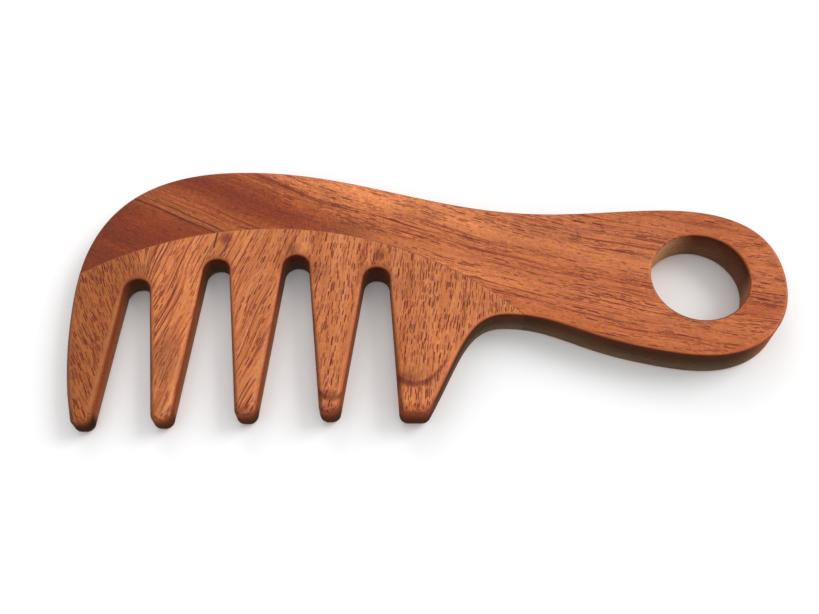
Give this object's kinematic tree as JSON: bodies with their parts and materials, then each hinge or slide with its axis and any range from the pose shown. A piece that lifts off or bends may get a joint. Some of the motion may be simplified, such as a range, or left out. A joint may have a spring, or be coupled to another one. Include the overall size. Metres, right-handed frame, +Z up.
{
  "type": "wide tooth comb",
  "caption": "Flat wooden wide tooth comb with a curved back, widely spaced tapered teeth and a handle with a round finger hole.",
  "frame": {"origin": "centre of the bounding box, at the underside that the comb lies on", "axes": "+X along the comb towards the end of the handle, +Y from the teeth towards the crest of the back, +Z up out of the front face"},
  "size_m": [0.1836, 0.0742, 0.0106],
  "materials": {
    "back_wood": "satin oiled reddish-brown open-pored hardwood, grain along the comb",
    "tooth_wood": "satin oiled reddish-brown open-pored hardwood, grain along the teeth",
    "cured_glue": "thin film of cured wood glue"
  },
  "bodies": {
    "root": {"back_and_handle": "back_wood", "tooth_board": "tooth_wood", "glue_line": "cured_glue"}
  },
  "joints": []
}
